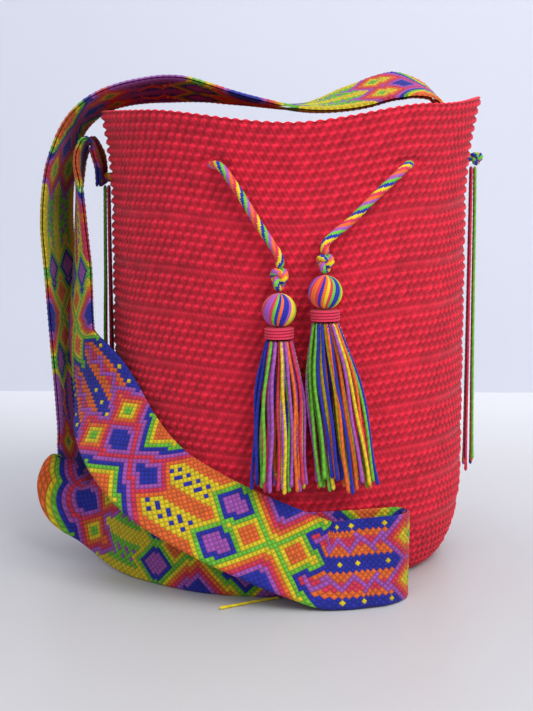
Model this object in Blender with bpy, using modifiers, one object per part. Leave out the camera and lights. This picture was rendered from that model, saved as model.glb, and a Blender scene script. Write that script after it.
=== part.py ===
"""Crocheted drawstring bucket bag with a knotted shoulder strap, two tassels and two strap-tie fringes.

Metres, +Z up. The origin is the centre of the bag's flat round base, on the surface that it stands on.
The bag's front faces -Y. The strap hangs from the left side (-X), lies folded in front of the base,
comes back up outside itself and crosses the open mouth to the right side.
"""

import math

import bmesh
import bpy
import numpy as np
from mathutils import Vector

# Bag body
BAG_HALF_WIDTH = 0.121
BAG_HALF_DEPTH = 0.106
BAG_HEIGHT = 0.305
WALL = 0.0050
BASE_SHARE = 0.80
BASE_RISE = 0.062
MOUTH_FLARE = 0.055
FLARE_RISE = 0.060
ROW_RELIEF = 0.0011
CROCHET_COURSES = 21
BAG_SIDES = 36
BASE_THICKNESS = 0.0055
RIM_WAVE = {0: 0.010, 45: 0.004, 90: -0.009, 135: -0.006, 180: 0.000, 225: 0.000, 270: -0.008, 315: 0.004}

# Mouth holes, as angles round the bag, and where the strap's ties pass
DRAWSTRING_LEVEL = 0.272
FRONT_HOLES = (-113.0, -51.0)
BACK_HOLES = (30.0, 70.0, 110.0, 150.0)
HOLE_HALF_WIDTH = 0.0140
HOLE_HALF_HEIGHT = 0.0062
TIE_HOLE_RADIUS = 0.0042
TIE_LEVEL = {"left": 0.262, "right": 0.275}

# Drawstring and tassels
CORD_DIAMETER = 0.0062
CORD_GAP = 0.0008
CORD_SPACING = 0.014
CORD_DIP = 0.013
HEAD_RADIUS = 0.0105
BINDING_RADIUS = 0.0092
BINDING_HEIGHT = 0.0078
SKIRT_TOP_RADIUS = 0.0084
SKIRT_BOTTOM = 0.0715
SKIRT_FLUTES = 12
KNOT_RADIUS = 0.0062
TASSELS = {
    "left": {"head": (-0.0055, 0.1845), "skirt_foot": (-0.0050, 0.0160), "knot_drop": 0.0215},
    "right": {"head": (0.0225, 0.1955), "skirt_foot": (0.0370, 0.0185), "knot_drop": 0.0185},
}
TASSEL_DEPTH = 0.0110

# Shoulder strap
STRAP_WIDTH = 0.055
STRAP_THICKNESS = 0.0036
STRAP_END_WIDTH = 0.032
STRAP_TAPER_LENGTH = 0.050
STRAP_COLUMNS = 6
STRAP_STEP = 0.0150
STRAP_TIGHTEN = 0.016
KNOT_RELIEF = 0.0004
DIAMOND_LENGTH = 0.060
FINGER_LENGTH = 0.048

# Strap ties and loose yarn
TIE_KNOT_RADIUS = 0.0052
YARN_DIAMETER = 0.0018
FRINGE_YARNS = 7
FRINGE_ROW = 4
FRINGE_SPREAD = 0.0024
FRINGE_SHIFT = {"left": 0.0030, "right": 0.0}
FRINGE_FOOT = {"left": 0.118, "right": 0.058}
SEAT_GAP = 0.0004

CORAL = (0.62, 0.018, 0.055)
PURPLE = (0.36, 0.10, 0.50)
BLUE = (0.012, 0.03, 0.36)
GREEN = (0.20, 0.55, 0.05)
YELLOW = (0.75, 0.58, 0.01)
ORANGE = (0.80, 0.16, 0.03)
YARN_COLOURS = {
    "coral_yarn": CORAL,
    "purple_yarn": PURPLE,
    "blue_yarn": BLUE,
    "green_yarn": GREEN,
    "yellow_yarn": YELLOW,
    "orange_yarn": ORANGE,
}

# The strap's route: centre as shares of the bag's half width, half depth and height, the direction across
# it towards its +v edge, and how far it curls, in degrees.
# It runs from the left tie down to the fold, along the base, up outside and over the mouth to the right tie.
STRAP_ROUTE = (
    ((-1.064, 0.03, 0.8425), (0.00, -1.00, 0.00), 0),
    ((-1.070, 0.02, 0.897), (0.00, -1.00, 0.00), 0),
    ((-1.123, 0.01, 0.938), (0.00, -1.00, 0.00), 0),
    ((-1.180, -0.01, 0.900), (0.03, -1.00, 0.00), 0),
    ((-1.182, -0.05, 0.820), (0.18, -0.98, 0.00), 8),
    ((-1.172, -0.12, 0.656), (0.32, -0.94, 0.00), 16),
    ((-1.162, -0.25, 0.492), (0.42, -0.90, 0.03), 16),
    ((-1.030, -0.52, 0.397), (0.74, -0.62, 0.10), 15),
    ((-0.885, -0.83, 0.315), (0.85, -0.05, 0.35), 8),
    ((-0.689, -1.02, 0.243), (0.78, 0.25, 0.52), 5),
    ((-0.410, -1.130, 0.184), (0.60, 0.42, 0.66), 4),
    ((-0.098, -1.185, 0.131), (0.45, 0.45, 0.74), 4),
    ((0.205, -1.180, 0.085), (0.36, 0.46, 0.78), 4),
    ((0.393, -1.145, 0.068), (0.28, 0.44, 0.83), 4),
    ((0.530, -1.115, 0.074), (0.14, 0.26, 0.93), 0),
    ((0.612, -1.022, 0.081), (0.04, 0.12, 0.98), 0),
    ((0.592, -0.915, 0.087), (0.00, 0.04, 0.99), 0),
    ((0.410, -0.943, 0.0892), (0.00, 0.02, 1.00), 0),
    ((0.164, -1.020, 0.0892), (0.00, 0.03, 1.00), 0),
    ((-0.123, -1.033, 0.0892), (0.00, 0.03, 1.00), 0),
    ((-0.451, -0.962, 0.0892), (0.00, 0.03, 1.00), 0),
    ((-0.754, -0.745, 0.0900), (0.02, 0.03, 1.00), 0),
    ((-0.984, -0.47, 0.105), (-0.03, 0.30, 0.95), 0),
    ((-1.150, -0.17, 0.164), (0.05, 0.72, 0.68), 10),
    ((-1.254, 0.00, 0.289), (0.14, 0.96, 0.20), 20),
    ((-1.290, 0.05, 0.443), (0.20, 0.97, 0.04), 25),
    ((-1.315, 0.05, 0.623), (0.22, 0.97, 0.00), 28),
    ((-1.332, 0.04, 0.770), (0.22, 0.97, 0.00), 25),
    ((-1.290, 0.02, 0.892), (0.18, 0.98, -0.06), 15),
    ((-1.189, 0.00, 0.982), (0.05, 0.98, -0.14), 8),
    ((-0.975, -0.01, 1.036), (0.00, 0.97, -0.18), 0),
    ((-0.615, 0.00, 1.054), (0.00, 0.95, -0.26), 0),
    ((-0.246, 0.00, 1.030), (0.00, 0.99, -0.06), 0),
    ((0.082, 0.00, 1.013), (0.00, 1.00, 0.05), 0),
    ((0.369, 0.01, 1.036), (0.00, 0.94, 0.30), 0),
    ((0.615, 0.03, 1.062), (0.00, 0.93, 0.34), 0),
    ((0.810, 0.04, 1.039), (0.00, 0.98, 0.15), 0),
    ((0.862, 0.05, 0.984), (0.00, 1.00, 0.00), 0),
    ((0.862, 0.04, 0.934), (0.00, 1.00, 0.00), 0),
    ((0.862, 0.02, 0.880), (0.00, 1.00, 0.00), 0),
)

# Where the loose yellow yarn lies on the floor, from under the strap to its sealed end
LOOSE_YARN = (
    (-0.0050, -0.1139, 0.0012),
    (-0.0110, -0.1170, 0.0011),
    (-0.0210, -0.1222, 0.0011),
    (-0.0320, -0.1290, 0.0011),
    (-0.0420, -0.1350, 0.0011),
)


def clear_scene():
    for item in list(bpy.data.objects):
        bpy.data.objects.remove(item, do_unlink=True)


def new_collection(name):
    group = bpy.data.collections.new(name)
    bpy.context.scene.collection.children.link(group)
    return group


def yarn_material(name, colour, roughness=0.75):
    material = bpy.data.materials.get(name) or bpy.data.materials.new(name)
    material.use_nodes = True
    shader = material.node_tree.nodes["Principled BSDF"]
    shader.inputs["Base Color"].default_value = (*colour, 1.0)
    shader.inputs["Roughness"].default_value = roughness
    shader.inputs["Metallic"].default_value = 0.0
    return material


def add_object(name, data, group, *materials):
    thing = bpy.data.objects.new(name, data)
    group.objects.link(thing)
    for material in materials:
        thing.data.materials.append(material)
    return thing


def rim_wave(angle):
    """How far the mouth's edge stands above or below its mean level, at an angle in degrees."""
    stations = sorted(RIM_WAVE)
    angle %= 360
    step = stations[1] - stations[0]
    before = stations[int(angle // step)]
    after = stations[(int(angle // step) + 1) % len(stations)]
    share = (angle - before) / step
    share = share * share * (3 - 2 * share)
    return RIM_WAVE[before] * (1 - share) + RIM_WAVE[after] * share


def girth(height):
    """The wall's half width as a share of the bag's, from the tucked-in foot to the flared mouth."""
    foot = 1.0
    if height < BASE_RISE:
        drop = 1 - height / BASE_RISE
        foot = BASE_SHARE + (1 - BASE_SHARE) * math.sqrt(max(0.0, 1 - drop * drop))
    flare = max(0.0, height - (BAG_HEIGHT - FLARE_RISE)) / FLARE_RISE
    return foot * (1 + MOUTH_FLARE * flare * flare)


def wall_point(angle, height, outwards=0.0):
    """A point at this distance from the wall's outer surface, at an angle in degrees."""
    share = girth(height)
    turn = math.radians(angle)
    return Vector(
        (
            (BAG_HALF_WIDTH * share + outwards) * math.cos(turn),
            (BAG_HALF_DEPTH * share + outwards) * math.sin(turn),
            height,
        )
    )


def mesh_from_rings(name, rings, cap_first=True, cap_last=True):
    """A loft through closed rings of equally many points."""
    work = bmesh.new()
    loops = [[work.verts.new(point) for point in ring] for ring in rings]
    for low, high in zip(loops, loops[1:]):
        count = len(low)
        for i in range(count):
            j = (i + 1) % count
            work.faces.new((low[i], low[j], high[j], high[i]))
    if cap_first:
        work.faces.new(list(reversed(loops[0])))
    if cap_last:
        work.faces.new(loops[-1])
    bmesh.ops.recalc_face_normals(work, faces=work.faces)
    mesh = bpy.data.meshes.new(name)
    work.to_mesh(mesh)
    work.free()
    return mesh


def bag_rings():
    """Rings up the outside, over the edge of the mouth and down the inside."""
    angles = [360.0 * i / BAG_SIDES for i in range(BAG_SIDES)]

    def ring(height_share, outwards):
        points = []
        for angle in angles:
            top = BAG_HEIGHT + rim_wave(angle)
            points.append(wall_point(angle, top * height_share, outwards))
        return points

    rings = [ring(0.0, -0.004)]
    for course in range(CROCHET_COURSES):
        low = course / CROCHET_COURSES
        rings.append(ring(low + 0.12 / CROCHET_COURSES, -ROW_RELIEF))
        rings.append(ring(low + 0.56 / CROCHET_COURSES, 0.0))
    rings.append(ring(1.0, -WALL * 0.35))
    rings.append(ring(1.0, -WALL * 0.75))
    for share in (0.985, 0.93, 0.86, 0.70, 0.50, 0.30, 0.17, 0.10, 0.055):
        rings.append(ring(share, -WALL))
    floor = []
    for angle in angles:
        corner = wall_point(angle, BASE_THICKNESS, -WALL)
        floor.append(Vector((corner.x * 0.93, corner.y * 0.93, BASE_THICKNESS)))
    rings.append(floor)
    return rings


def hole_cutter(angle, level, half_width, half_height, group):
    """An oval rod laid through the wall, pointing outwards."""
    cutter_mesh = bpy.data.meshes.new("hole_cutter")
    work = bmesh.new()
    bmesh.ops.create_cone(
        work, cap_ends=True, segments=12, radius1=1.0, radius2=1.0, depth=WALL * 6
    )
    work.to_mesh(cutter_mesh)
    work.free()
    cutter = add_object(f"hole_cutter_{angle:.0f}", cutter_mesh, group)
    outward = wall_point(angle, level, 0.01) - wall_point(angle, level, 0.0)
    outward.z = 0
    cutter.rotation_mode = "QUATERNION"
    cutter.rotation_quaternion = outward.to_track_quat("Z", "Y")
    cutter.location = wall_point(angle, level, -WALL / 2)
    cutter.scale = (half_width, half_height, 1.0)
    cutter.hide_render = True
    cutter.display_type = "WIRE"
    return cutter


def build_bag(group, cutters):
    bag = add_object(
        "bag_body",
        mesh_from_rings("bag_body", bag_rings()),
        group,
        yarn_material("crochet_coral", CORAL),
    )
    bag.data.polygons.foreach_set("use_smooth", [True] * len(bag.data.polygons))
    holes = [(a, DRAWSTRING_LEVEL, HOLE_HALF_WIDTH, HOLE_HALF_HEIGHT) for a in FRONT_HOLES + BACK_HOLES]
    for angle, side in ((180.0, "left"), (0.0, "right")):
        holes.append((angle, TIE_LEVEL[side], TIE_HOLE_RADIUS, TIE_HOLE_RADIUS))
    for angle, level, half_width, half_height in holes:
        cutter = hole_cutter(angle, level, half_width, half_height, cutters)
        cut = bag.modifiers.new("mouth_hole", "BOOLEAN")
        cut.operation = "DIFFERENCE"
        cut.object = cutter
    return bag


def smooth_path(points, step, tighten=0.0):
    """Points about a step apart along a smooth curve through the given points, closer where it bends sharply."""
    p = np.array([list(point) for point in points], float)
    ends = np.vstack([2 * p[0] - p[1], p, 2 * p[-1] - p[-2]])
    dense = []
    for i in range(1, len(ends) - 2):
        a, b, c, d = ends[i - 1 : i + 3]
        for t in np.linspace(0, 1, 24, endpoint=False):
            dense.append(
                0.5 * (2 * b + (c - a) * t + (2 * a - 5 * b + 4 * c - d) * t**2 + (3 * b - a - 3 * c + d) * t**3)
            )
    dense.append(ends[-2])
    dense = np.array(dense)
    along = np.concatenate([[0], np.cumsum(np.linalg.norm(np.diff(dense, axis=0), axis=1))])
    ahead = np.gradient(dense, axis=0)
    ahead /= np.linalg.norm(ahead, axis=1)[:, None]
    bend = np.linalg.norm(np.diff(ahead, axis=0), axis=1) / np.maximum(np.diff(along), 1e-9)
    effort = np.concatenate([[0], np.cumsum(np.diff(along) * (1 + tighten * np.minimum(bend, 200)))])
    count = max(2, round(effort[-1] / step) + 1)
    wanted = np.interp(np.linspace(0, effort[-1], count), effort, along)
    return np.stack([np.interp(wanted, along, dense[:, k]) for k in range(3)], axis=1), wanted


def strap_place(shares):
    return (shares[0] * BAG_HALF_WIDTH, shares[1] * BAG_HALF_DEPTH, shares[2] * BAG_HEIGHT)


def strap_frames(step):
    """Centre, across and face directions, curl and length along the strap, every step."""
    centres = [strap_place(place) for place, _, _ in STRAP_ROUTE]
    keyed = [[*place, *across, curl * 0.001] for place, across, curl in STRAP_ROUTE]
    p = np.array(keyed, float)
    line, wanted = smooth_path(centres, step, STRAP_TIGHTEN)
    marks = [0.0]
    for a, b in zip(range(len(centres) - 1), range(1, len(centres))):
        part, _ = smooth_path([centres[max(a - 1, 0)], centres[a], centres[b], centres[min(b + 1, len(centres) - 1)]], 0.002)
        near = [np.argmin(np.linalg.norm(part - np.array(centres[k]), axis=1)) for k in (a, b)]
        marks.append(marks[-1] + 0.002 * abs(near[1] - near[0]))
    marks = np.array(marks) * (wanted[-1] / marks[-1])
    across = np.stack([np.interp(wanted, marks, p[:, 3 + k]) for k in range(3)], axis=1)
    curl = np.interp(wanted, marks, p[:, 6]) * 1000
    ahead = np.gradient(line, axis=0)
    ahead /= np.linalg.norm(ahead, axis=1)[:, None]
    across -= ahead * np.sum(across * ahead, axis=1)[:, None]
    across /= np.linalg.norm(across, axis=1)[:, None]
    face = np.cross(ahead, across)
    over = int(np.argmin(np.abs(line[:, 0]) + (line[:, 2] < BAG_HEIGHT)))
    columns = np.linspace(-0.5, 0.5, STRAP_COLUMNS + 1)
    moves = []
    for i, along in enumerate(wanted):
        width = strap_width(along, wanted[-1])
        row = [Vector(curled_point(line[i], across[i], face[i], width, curl[i], v, 0.0)) for v in columns]
        moves.append(settled(row, abs(face[i][2]), i > over))
    return line + np.array(moves), across, face, curl, wanted


def strap_width(along, total):
    """The strap narrows to its tie at each end."""
    near_end = min(along, total - along)
    share = min(1.0, near_end / STRAP_TAPER_LENGTH)
    return STRAP_END_WIDTH + (STRAP_WIDTH - STRAP_END_WIDTH) * math.sin(share * math.pi / 2)


def curled_point(centre, across, face, width, curl, v, lift):
    """A point at v (-0.5 to 0.5) across a strap curled round its length, lifted off its middle surface."""
    bend = math.radians(curl)
    if abs(bend) < 0.02:
        return centre + across * (v * width) + face * lift
    radius = width / bend
    turn = v * bend
    rise = radius * (math.cos(turn) - math.cos(bend / 2) * 0.5 - 0.5)
    return (
        centre
        + across * ((radius + lift) * math.sin(turn))
        + face * (rise + lift * math.cos(turn))
    )


def settled(points, steepness, inside):
    """How far a row of points across the strap has to move to lie clear of the bag's wall and of the floor."""
    half = STRAP_THICKNESS / 2 + KNOT_RELIEF
    clear = half + 2 * SEAT_GAP
    lowest = min(point.z for point in points) - half * steepness
    move = Vector((0, 0, max(0.0, 0.0002 - lowest)))
    worst = 0.0
    for point in points:
        angle = math.degrees(math.atan2(point.y / BAG_HALF_DEPTH, point.x / BAG_HALF_WIDTH))
        edge = BAG_HEIGHT + rim_wave(angle)
        outer = wall_point(angle, min(point.z, edge)).to_2d().length
        reach = point.to_2d().length
        if point.z > edge + clear or reach < outer - WALL * 1.1 - clear:
            continue
        if point.z > edge - 0.012 and not inside and reach < outer + clear * 0.6:
            move.z = max(move.z, edge + clear - point.z)
        elif inside:
            worst = min(worst, outer - WALL * 1.1 - clear - reach)
        else:
            worst = max(worst, outer + clear - reach)
    middle = points[len(points) // 2].to_2d().normalized()
    return move + Vector((middle.x * worst, middle.y * worst, 0))


def strap_colour(along, v):
    """Fields of colour: nested diamonds in one length of the pattern, long fingers in the next."""
    unit = DIAMOND_LENGTH + FINGER_LENGTH
    turn, place = divmod(along, unit)
    flip = int(turn) % 2
    if place < DIAMOND_LENGTH:
        far = abs(place / DIAMOND_LENGTH - 0.5) + abs(v)
        order = ["orange_yarn", "yellow_yarn", "green_yarn", "blue_yarn", "purple_yarn", "coral_yarn"]
        order = order[::-1] if flip else order
        return order[min(5, int(far * 6))]
    band = int((v + 0.5) * STRAP_COLUMNS)
    if band % 2 == 0:
        return "orange_yarn" if flip else "blue_yarn"
    return "yellow_yarn" if flip else "purple_yarn"


def build_strap(group):
    """One knotted band: a thin closed section swept along its route, with a relief of crossing ribs."""
    line, across, face, curl, wanted = strap_frames(STRAP_STEP)
    rings = []
    for i, along in enumerate(wanted):
        width = strap_width(along, wanted[-1])
        ring = []
        for side in (1, -1):
            columns = range(STRAP_COLUMNS + 1) if side == 1 else range(STRAP_COLUMNS, -1, -1)
            for column in columns:
                relief = KNOT_RELIEF if (column + i) % 2 else -KNOT_RELIEF
                lift = side * (STRAP_THICKNESS / 2 + relief)
                v = column / STRAP_COLUMNS - 0.5
                ring.append(
                    Vector(curled_point(line[i], across[i], face[i], width, curl[i], v, lift))
                )
        rings.append(ring)
    mesh = mesh_from_rings("shoulder_strap", rings)
    strap = add_object("shoulder_strap", mesh, group)
    names = list(YARN_COLOURS)
    for name in names:
        mesh.materials.append(yarn_material(name, YARN_COLOURS[name]))
    per_band = 2 * (STRAP_COLUMNS + 1)
    for number, polygon in enumerate(mesh.polygons):
        band, place = divmod(number, per_band)
        if band >= len(wanted) - 1:
            continue
        column = place if place <= STRAP_COLUMNS else 2 * STRAP_COLUMNS + 1 - place
        v = min(0.49, max(-0.49, (column + 0.5) / STRAP_COLUMNS - 0.5))
        polygon.material_index = names.index(strap_colour(wanted[band], v))
        polygon.use_smooth = True
    return strap


def tube(name, points, diameter, group, material, bevel_resolution=2):
    curve = bpy.data.curves.new(name, "CURVE")
    curve.dimensions = "3D"
    curve.bevel_depth = diameter / 2
    curve.bevel_resolution = bevel_resolution
    curve.use_fill_caps = True
    spline = curve.splines.new("POLY")
    spline.points.add(len(points) - 1)
    for target, point in zip(spline.points, points):
        target.co = (*point, 1.0)
    return add_object(name, curve, group, material)


def leg_points(side):
    """The drawstring's free leg, from its knot up the front of the bag to its hole."""
    end = drawstring_end(side)
    angle = FRONT_HOLES[0 if side == "left" else 1]
    clear = CORD_DIAMETER / 2 + 2 * CORD_GAP
    lean = 1 if side == "left" else -1
    points = [end, end + Vector((0, 0, CORD_DIAMETER * 0.9))]
    hole = wall_point(angle + lean * 5, DRAWSTRING_LEVEL - 0.003, clear)
    for share in (0.3, 0.5, 0.7, 0.88):
        x_here = end.x + (hole.x - end.x) * share**1.15
        z_here = end.z + (hole.z - end.z) * share
        turn = -math.degrees(math.acos(x_here / (BAG_HALF_WIDTH * girth(z_here) + clear)))
        points.append(wall_point(turn, z_here, clear + (1 - share) * 0.002))
    points.append(wall_point(angle + lean * 4.5, DRAWSTRING_LEVEL - 0.002, clear))
    return points


def drawstring_end(side):
    """Where the drawstring goes into its tassel's knot."""
    x, head = TASSELS[side]["head"]
    top = head + TASSELS[side]["knot_drop"] + KNOT_RADIUS + SEAT_GAP
    return Vector((x, -(BAG_HALF_DEPTH + CORD_DIAMETER / 2 + 0.0045), top))


def drawstring_route():
    """Left knot, left front hole, round inside with two stretches outside the back, right front hole, right knot."""
    inside = -(WALL + CORD_DIAMETER / 2 + CORD_GAP + 0.0003)
    outside = CORD_DIAMETER / 2 + CORD_GAP
    middle = -WALL / 2
    route = leg_points("left")
    start, finish = FRONT_HOLES[0], FRONT_HOLES[1] - 360.0
    route.append(wall_point(start, DRAWSTRING_LEVEL, middle))
    route.append(wall_point(start - 4.5, DRAWSTRING_LEVEL, inside))
    place = inside
    last = start - 4.5
    for hole in [a - 360.0 for a in sorted(BACK_HOLES, reverse=True)]:
        run = np.linspace(last, hole + 4.5, max(3, int((last - hole) / 12)))[1:]
        route.extend(wall_point(turn, DRAWSTRING_LEVEL, place) for turn in run)
        route.append(wall_point(hole, DRAWSTRING_LEVEL, middle))
        place = outside if place == inside else inside
        last = hole - 4.5
        route.append(wall_point(last, DRAWSTRING_LEVEL, place))
    run = np.linspace(last, finish + 4.5, 14)[1:]
    for turn in run:
        dip = CORD_DIP * math.exp(-(((turn + 360.0) / 13.0) ** 2))
        route.append(wall_point(turn, DRAWSTRING_LEVEL - dip, place))
    route.append(wall_point(finish, DRAWSTRING_LEVEL, middle))
    route.extend(reversed(leg_points("right")))
    return route


def build_drawstring(group):
    sampled, _ = smooth_path(drawstring_route(), CORD_SPACING)
    rise = np.array([0, 0, CORD_DIAMETER * 0.6])
    points = [sampled[0], sampled[0] + rise, *sampled[1:-1], sampled[-1] + rise, sampled[-1]]
    return tube("drawstring", points, CORD_DIAMETER, group, yarn_material("braid_yarn", YELLOW), 2)


def turned(name, profile, centre, sides, group, material, turn_to_x=0):
    """A turned form: a profile of radius and height pairs, from the top down, spun by a Screw modifier."""
    work = bmesh.new()
    verts = [work.verts.new((radius, 0.0, height)) for radius, height in profile]
    for first, second in zip(verts, verts[1:]):
        work.edges.new((first, second))
    mesh = bpy.data.meshes.new(name)
    work.to_mesh(mesh)
    work.free()
    thing = add_object(name, mesh, group, material)
    screw = thing.modifiers.new("turn", "SCREW")
    screw.steps = sides
    screw.render_steps = sides
    screw.use_merge_vertices = True
    screw.merge_threshold = 0.00001
    screw.use_smooth_shade = True
    thing.location = centre
    thing.rotation_euler = (0.0, turn_to_x * math.pi / 2, 0.0)
    return thing


def ball_profile(radius, high, low, steps):
    """Radius and height pairs down a ball between two latitudes in degrees, closed on its axis."""
    turns = np.radians(np.linspace(high, low, steps))
    wall = [(radius * math.cos(t), radius * math.sin(t)) for t in turns]
    return [(0.0, wall[0][1]), *wall, (0.0, wall[-1][1])]


def build_tassel(side, group):
    x, head_level = TASSELS[side]["head"]
    foot_x, foot_radius = TASSELS[side]["skirt_foot"]
    depth = -(BAG_HALF_DEPTH + HEAD_RADIUS + 0.0012)
    head_centre = Vector((x, depth, head_level))
    neck_level = head_level - HEAD_RADIUS * 0.92
    turned(
        f"{side}_tassel_head",
        ball_profile(HEAD_RADIUS, 78, -60, 7),
        head_centre,
        20,
        group,
        yarn_material("tassel_purple", PURPLE),
    )
    wraps = [(0.0, 0.0), (BINDING_RADIUS * 0.82, 0.0)]
    turns = 3
    pitch = BINDING_HEIGHT / turns
    for k in range(turns):
        wraps += [(BINDING_RADIUS * 0.9, -pitch * (k + 0.05)), (BINDING_RADIUS, -pitch * (k + 0.5))]
    wraps += [(BINDING_RADIUS * 0.9, -BINDING_HEIGHT * 0.985), (BINDING_RADIUS * 0.82, -BINDING_HEIGHT)]
    wraps.append((0.0, -BINDING_HEIGHT))
    binding_top = neck_level - SEAT_GAP
    turned(
        f"{side}_tassel_binding",
        wraps,
        Vector((x, depth, binding_top)),
        16,
        group,
        yarn_material("binding_coral", CORAL),
    )
    skirt_top = binding_top - BINDING_HEIGHT - SEAT_GAP
    rings = []
    sides = SKIRT_FLUTES * 2
    for share in (0.0, 0.06, 0.18, 0.40, 0.70, 1.0):
        bulge = math.sin(min(1.0, share * 2.2) * math.pi / 2)
        radius = SKIRT_TOP_RADIUS + (foot_radius - SKIRT_TOP_RADIUS) * bulge * (0.75 + 0.25 * share)
        half_depth = min(radius, TASSEL_DEPTH)
        middle = x + (foot_x - x) * share
        height = skirt_top + (SKIRT_BOTTOM - skirt_top) * share
        ring = []
        for i in range(sides):
            turn = 2 * math.pi * i / sides
            flute = 1 - 0.12 * (i % 2) * min(1.0, share * 5)
            ring.append(
                Vector(
                    (middle + radius * flute * math.cos(turn), depth + half_depth * flute * math.sin(turn), height)
                )
            )
        rings.append(ring)
    skirt = add_object(
        f"{side}_tassel_skirt",
        mesh_from_rings(f"{side}_tassel_skirt", rings),
        group,
        yarn_material("tassel_blue", BLUE),
    )
    skirt.data.polygons.foreach_set("use_smooth", [True] * len(skirt.data.polygons))


def build_cord_knot(side, group):
    """The stopper knot between the drawstring's end and the tassel's head, as stacked turns of cord."""
    x, head_level = TASSELS[side]["head"]
    depth = drawstring_end(side).y
    foot = head_level + HEAD_RADIUS * math.sin(math.radians(78)) + SEAT_GAP
    top = drawstring_end(side).z - SEAT_GAP
    height = top - foot
    turns = 3
    profile = [(0.0, height), (KNOT_RADIUS * 0.55, height)]
    for k in range(turns):
        level = height * (1 - (k + 0.5) / turns)
        profile.append((KNOT_RADIUS * (0.92 + 0.08 * (k % 2)), level))
        if k < turns - 1:
            profile.append((KNOT_RADIUS * 0.74, height * (1 - (k + 1) / turns)))
    profile += [(KNOT_RADIUS * 0.55, 0.0), (0.0, 0.0)]
    middle = Vector((x, depth, foot))
    turned(f"{side}_cord_knot", profile, middle, 14, group, yarn_material("knot_orange", ORANGE))


def build_tie(side, group):
    """The strap's tie: a knot outside the wall and its neck through the wall to the strap's end."""
    sign = -1 if side == "left" else 1
    level = TIE_LEVEL[side]
    wall = BAG_HALF_WIDTH * girth(level)
    neck_radius = TIE_HOLE_RADIUS - 0.0006
    if side == "left":
        knot = wall - WALL - 0.010
        inner, outer = knot - TIE_KNOT_RADIUS * 0.8, -strap_place(STRAP_ROUTE[0][0])[0]
        outer -= STRAP_THICKNESS / 2 + KNOT_RELIEF + SEAT_GAP
        profile = [(0.0, outer), (neck_radius, outer), (neck_radius, knot + 0.0045)]
        profile += [(TIE_KNOT_RADIUS * 0.8, knot + 0.0040), (TIE_KNOT_RADIUS, knot)]
        profile += [(TIE_KNOT_RADIUS * 0.7, inner), (0.0, inner)]
    else:
        inner = strap_place(STRAP_ROUTE[-1][0])[0] + STRAP_THICKNESS / 2 + KNOT_RELIEF + SEAT_GAP
        outer = wall + 0.0008
        profile = [(0.0, outer + 0.0100), (TIE_KNOT_RADIUS * 0.7, outer + 0.0085)]
        profile += [(TIE_KNOT_RADIUS, outer + 0.0045), (TIE_KNOT_RADIUS * 0.8, outer + 0.0008)]
        profile += [(neck_radius, outer), (neck_radius, inner), (0.0, inner)]
    centre = Vector((0, 0, level))
    turned(f"{side}_strap_tie", profile, centre, 12, group, yarn_material("tie_green", GREEN), sign)


def build_fringe(side, group):
    """The tie's loose yarns, each its own length, hanging down outside the wall from just under the knot."""
    sign = -1 if side == "left" else 1
    level = TIE_LEVEL[side] - TIE_KNOT_RADIUS - SEAT_GAP
    wall = BAG_HALF_WIDTH * girth(level)
    colours = list(YARN_COLOURS)
    for k in range(FRINGE_YARNS):
        row, column = divmod(k, FRINGE_ROW)
        reach = wall + 0.0017 + YARN_DIAMETER * 0.5 + row * FRINGE_SPREAD
        shift = (column - (FRINGE_ROW - 1) / 2) * FRINGE_SPREAD + FRINGE_SHIFT[side]
        foot = FRINGE_FOOT[side] + 0.010 * ((k * 5) % 7) / 7
        points = [
            (sign * reach, shift, level),
            (sign * (reach + 0.0004 * row), shift * 1.05, level - 0.03),
            (sign * (reach + 0.0008 * row), shift * 1.3, (level + foot) / 2),
            (sign * (reach + 0.0014 * row), shift * 1.6, foot + 0.04),
            (sign * (reach + 0.0020 * row), shift * 1.9, foot),
        ]
        line, _ = smooth_path(points, 0.030)
        colour = colours[(k * 2 + k // 3) % 6]
        tube(f"{side}_tie_yarn_{k + 1}", line, YARN_DIAMETER, group, yarn_material(colour, YARN_COLOURS[colour]), 1)


def main():
    clear_scene()
    group = new_collection("drawstring_bucket_bag")
    cutters = new_collection("cutters")
    build_bag(group, cutters)
    build_strap(group)
    build_drawstring(group)
    for side in ("left", "right"):
        build_cord_knot(side, group)
        build_tassel(side, group)
        build_tie(side, group)
        build_fringe(side, group)
    line, _ = smooth_path(LOOSE_YARN, 0.008)
    tube("loose_yarn", line, YARN_DIAMETER, group, yarn_material("yellow_yarn", YELLOW), 1)


main()
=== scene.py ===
"""Crocheted bucket bag: coral body, drawstring with two tassels and a patterned knotted strap, on a white floor."""

import math

import bmesh
import bpy
import numpy as np
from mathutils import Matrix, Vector


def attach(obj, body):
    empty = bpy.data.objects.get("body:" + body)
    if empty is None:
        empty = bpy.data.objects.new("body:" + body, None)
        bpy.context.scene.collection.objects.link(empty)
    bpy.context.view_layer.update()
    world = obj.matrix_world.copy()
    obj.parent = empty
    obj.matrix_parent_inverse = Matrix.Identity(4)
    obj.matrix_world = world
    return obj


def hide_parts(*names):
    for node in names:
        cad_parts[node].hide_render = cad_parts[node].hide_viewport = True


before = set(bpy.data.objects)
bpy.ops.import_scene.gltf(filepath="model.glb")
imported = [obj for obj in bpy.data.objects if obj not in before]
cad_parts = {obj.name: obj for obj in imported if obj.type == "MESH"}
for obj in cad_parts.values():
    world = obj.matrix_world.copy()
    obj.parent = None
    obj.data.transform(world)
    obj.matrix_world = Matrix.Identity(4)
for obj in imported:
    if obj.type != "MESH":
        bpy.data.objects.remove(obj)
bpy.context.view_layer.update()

# Sizes and routes that repeat part.py, in metres and in the row's frame
# Bag body
BAG_HALF_WIDTH = 0.121
BAG_HALF_DEPTH = 0.106
BAG_HEIGHT = 0.305
WALL = 0.0050
BASE_SHARE = 0.80
BASE_RISE = 0.062
MOUTH_FLARE = 0.055
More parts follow.
